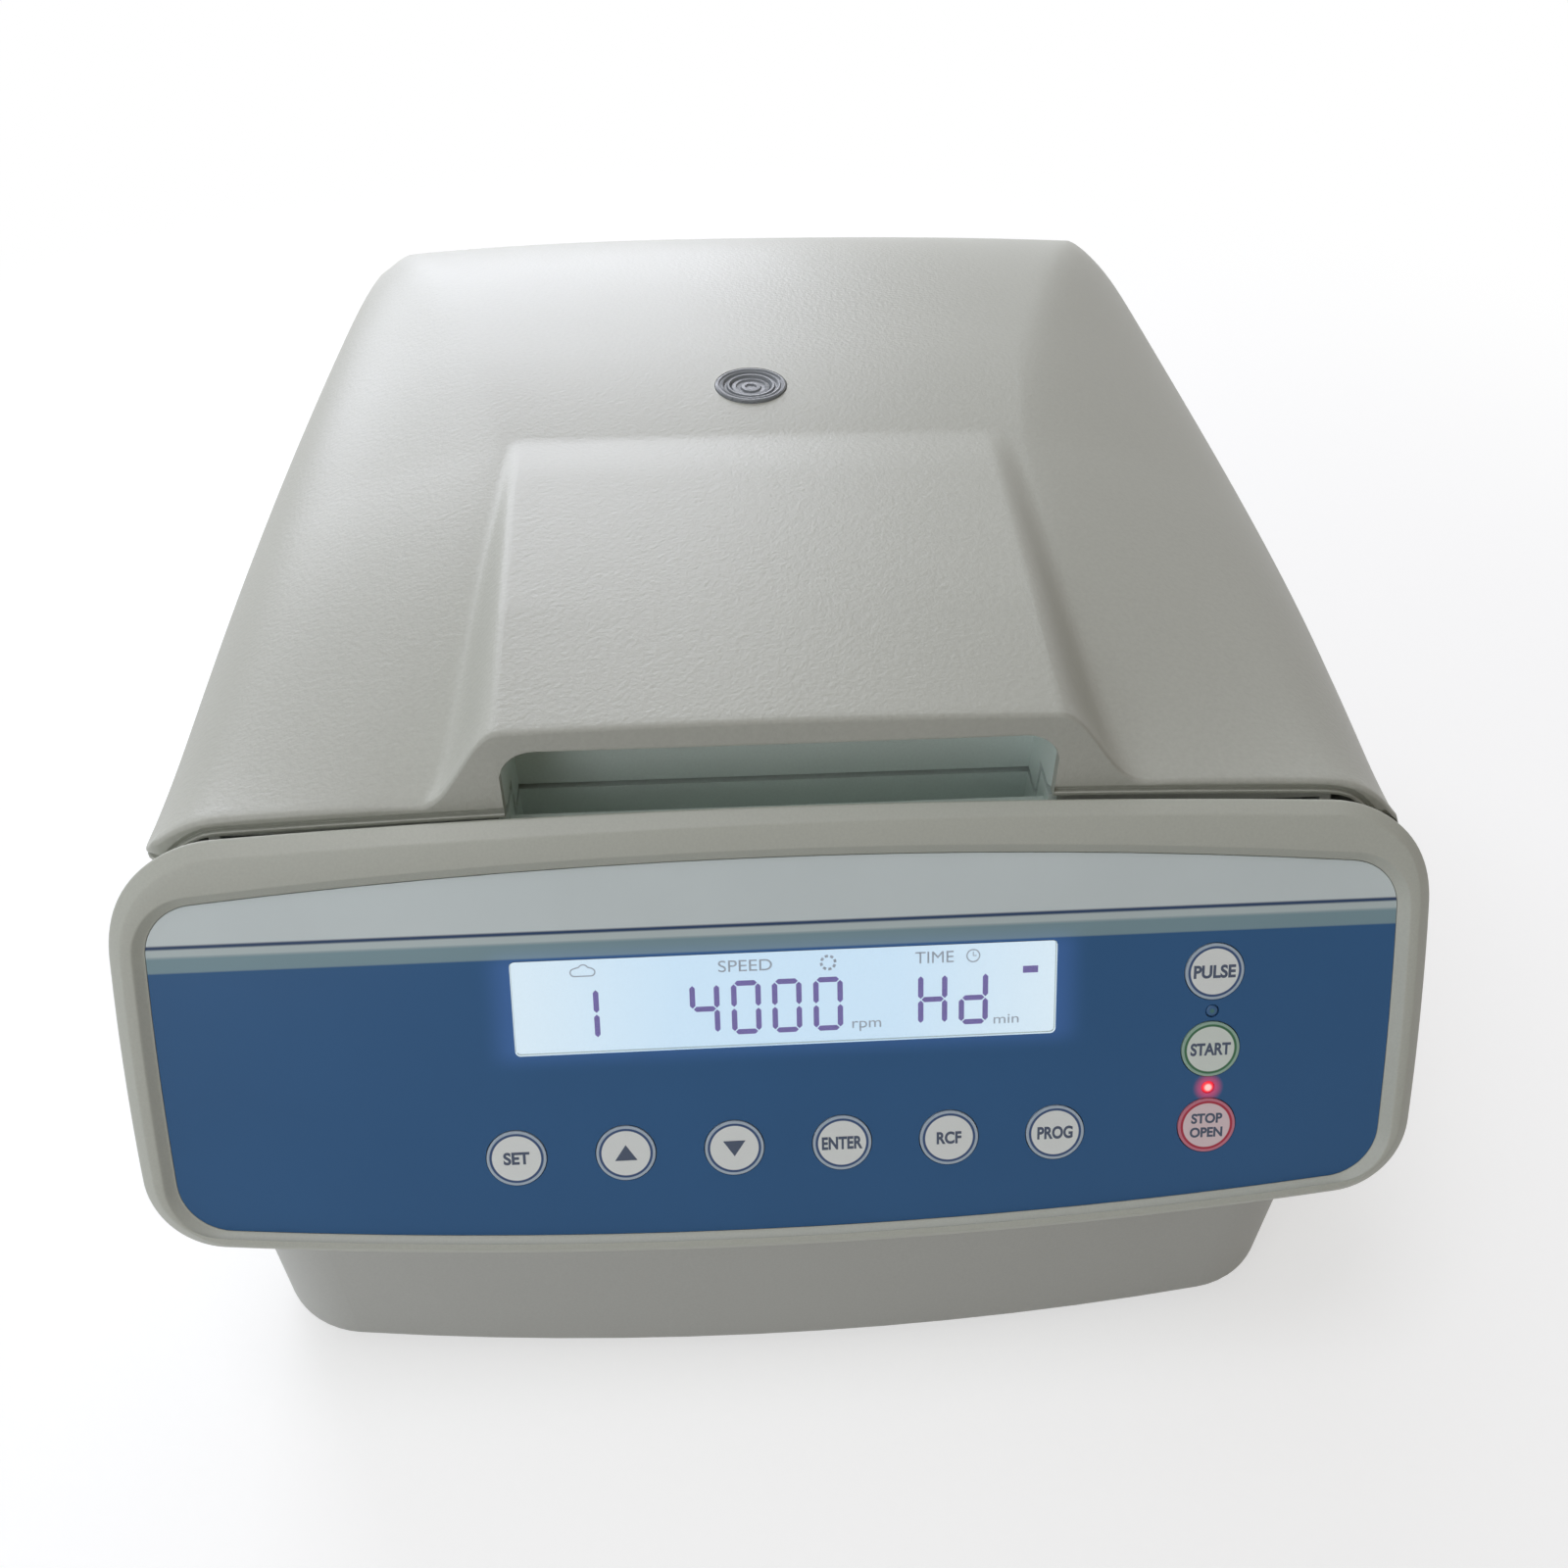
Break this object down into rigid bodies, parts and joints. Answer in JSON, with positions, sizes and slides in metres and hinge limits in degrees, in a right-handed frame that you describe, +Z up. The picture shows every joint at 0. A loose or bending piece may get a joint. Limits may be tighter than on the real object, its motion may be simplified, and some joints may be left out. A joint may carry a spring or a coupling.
{
  "type": "cytocentrifuge",
  "caption": "Benchtop cytocentrifuge: hinged crowned lid with a finger recess, leaning control panel with keys and a lit display, and a rotor of tilting slide carriers.",
  "frame": {"origin": "on the bench, under the middle of the machine's outline", "axes": "+Z up, +Y from the control panel to the rear wall, +X to the right of someone facing the panel"},
  "size_m": [0.36, 0.466, 0.2286],
  "materials": {
    "casing_light": "satin",
    "casing_grey": "satin",
    "bezel_grey": "satin",
    "scoop_dark": "matte",
    "liner_white": "satin",
    "overlay_blue": "satin",
    "display_clear": "gloss",
    "display_lit": "lit",
    "board_green": "satin",
    "switch_black": "satin",
    "lamp_clear": "gloss",
    "key_pale": "satin",
    "rubber_black": "matte",
    "gasket_grey": "matte",
    "steel": "brushed",
    "zinc": "satin",
    "bright": "polished",
    "rotor_alu": "satin",
    "motor_alu": "cast",
    "motor_paint": "satin",
    "chamber_white": "satin",
    "port_clear": "gloss",
    "inlet_black": "matte"
  },
  "bodies": {
    "casing": {"front_bezel": "bezel_grey", "membrane_overlay": "overlay_blue", "display_window": "display_clear", "display_module": "display_lit", "control_board": "board_green", "key_switches": "switch_black", "status_lamps": "lamp_clear", "base_tray": "casing_grey", "main_housing": "casing_grey", "finger_scoop": "scoop_dark", "rubber_feet": "rubber_black", "case_screws": "bright", "hinge_brackets": "zinc", "hinge_pins": "steel", "chamber_bowl": "steel", "chamber_gasket": "gasket_grey", "guard_ring": "zinc", "motor_plate": "zinc", "motor_dampers": "rubber_black", "motor_body": "motor_alu", "motor_bearings": "bright", "lock_solenoid": "motor_paint", "power_board": "board_green", "mains_inlet": "inlet_black", "switch_frame": "inlet_black"},
    "lid": {"lid_shell": "casing_light", "lid_liner": "liner_white", "lid_dome": "liner_white", "finger_pocket": "scoop_dark", "view_port": "port_clear", "lid_strikers": "zinc", "hinge_arms": "zinc"},
    "rotor": {"motor_shaft": "steel", "rotor_head": "rotor_alu", "rotor_nut": "switch_black"},
    "latch": {"latch_shaft": "steel", "latch_hooks": "zinc"},
    "plunger": {"lock_plunger": "steel"},
    "rocker": {"power_rocker": "switch_black"},
    "carrier_1": {"slide_clip_1": "steel", "sample_chamber_1": "chamber_white"},
    "carrier_2": {"slide_clip_2": "steel", "sample_chamber_2": "chamber_white"},
    "carrier_3": {"slide_clip_3": "steel", "sample_chamber_3": "chamber_white"},
    "carrier_4": {"slide_clip_4": "steel", "sample_chamber_4": "chamber_white"},
    "carrier_5": {"slide_clip_5": "steel", "sample_chamber_5": "chamber_white"},
    "carrier_6": {"slide_clip_6": "steel", "sample_chamber_6": "chamber_white"},
    "key_set": {"key_set": "key_pale"},
    "key_up": {"key_up": "key_pale"},
    "key_down": {"key_down": "key_pale"},
    "key_enter": {"key_enter": "key_pale"},
    "key_rcf": {"key_rcf": "key_pale"},
    "key_prog": {"key_prog": "key_pale"},
    "key_stop": {"key_stop": "key_pale"},
    "key_start": {"key_start": "key_pale"},
    "key_pulse": {"key_pulse": "key_pale"}
  },
  "joints": [
    {"name": "lid_hinge", "type": "hinge", "parent": "casing", "child": "lid", "pos_m": [0, 0.208, 0.19], "axis": [-1, 0, 0], "range_deg": [0, 70]},
    {"name": "rotor_spin", "type": "hinge", "parent": "casing", "child": "rotor", "pos_m": [0, 0.01398, 0.11], "axis": [0, 0, 1], "continuous": true},
    {"name": "carrier_1_tilt", "type": "hinge", "parent": "rotor", "child": "carrier_1", "pos_m": [0, 0.10198, 0.115], "axis": [-1, 0, 0], "range_deg": [0, 16]},
    {"name": "carrier_2_tilt", "type": "hinge", "parent": "rotor", "child": "carrier_2", "pos_m": [-0.07621, 0.05798, 0.115], "axis": [-0.5, -0.866, 0], "range_deg": [0, 16]},
    {"name": "carrier_3_tilt", "type": "hinge", "parent": "rotor", "child": "carrier_3", "pos_m": [-0.07621, -0.03002, 0.115], "axis": [0.5, -0.866, 0], "range_deg": [0, 16]},
    {"name": "carrier_4_tilt", "type": "hinge", "parent": "rotor", "child": "carrier_4", "pos_m": [0, -0.07402, 0.115], "axis": [1, 0, 0], "range_deg": [0, 16]},
    {"name": "carrier_5_tilt", "type": "hinge", "parent": "rotor", "child": "carrier_5", "pos_m": [0.07621, -0.03002, 0.115], "axis": [0.5, 0.866, 0], "range_deg": [0, 16]},
    {"name": "carrier_6_tilt", "type": "hinge", "parent": "rotor", "child": "carrier_6", "pos_m": [0.07621, 0.05798, 0.115], "axis": [-0.5, 0.866, 0], "range_deg": [0, 16]},
    {"name": "latch_turn", "type": "hinge", "parent": "casing", "child": "latch", "pos_m": [0, -0.14442, 0.15], "axis": [1, 0, 0], "range_deg": [0, 28]},
    {"name": "plunger_slide", "type": "slide", "parent": "casing", "child": "plunger", "axis": [0, 1, 0], "range_m": [0, 0.0073], "stiffness_N_per_m": 350, "springref_m": -0.001},
    {"name": "rocker_tilt", "type": "hinge", "parent": "casing", "child": "rocker", "pos_m": [-0.045, 0.202, 0.125], "axis": [1, 0, 0], "range_deg": [0, 18]},
    {"name": "set_press", "type": "slide", "parent": "casing", "child": "key_set", "axis": [0, 0.8796, -0.4756], "range_m": [0, 0.0006], "stiffness_N_per_m": 3000},
    {"name": "up_press", "type": "slide", "parent": "casing", "child": "key_up", "axis": [0, 0.8796, -0.4756], "range_m": [0, 0.0006], "stiffness_N_per_m": 3000},
    {"name": "down_press", "type": "slide", "parent": "casing", "child": "key_down", "axis": [0, 0.8796, -0.4756], "range_m": [0, 0.0006], "stiffness_N_per_m": 3000},
    {"name": "enter_press", "type": "slide", "parent": "casing", "child": "key_enter", "axis": [0, 0.8796, -0.4756], "range_m": [0, 0.0006], "stiffness_N_per_m": 3000},
    {"name": "rcf_press", "type": "slide", "parent": "casing", "child": "key_rcf", "axis": [0, 0.8796, -0.4756], "range_m": [0, 0.0006], "stiffness_N_per_m": 3000},
    {"name": "prog_press", "type": "slide", "parent": "casing", "child": "key_prog", "axis": [0, 0.8796, -0.4756], "range_m": [0, 0.0006], "stiffness_N_per_m": 3000},
    {"name": "stop_press", "type": "slide", "parent": "casing", "child": "key_stop", "axis": [0, 0.8796, -0.4756], "range_m": [0, 0.0006], "stiffness_N_per_m": 3000},
    {"name": "start_press", "type": "slide", "parent": "casing", "child": "key_start", "axis": [0, 0.8796, -0.4756], "range_m": [0, 0.0006], "stiffness_N_per_m": 3000},
    {"name": "pulse_press", "type": "slide", "parent": "casing", "child": "key_pulse", "axis": [0, 0.8796, -0.4756], "range_m": [0, 0.0006], "stiffness_N_per_m": 3000}
  ],
  "couplings": [
    {"joint": "latch_turn", "follows": "plunger_slide", "rad_per_m": 66.667}
  ]
}
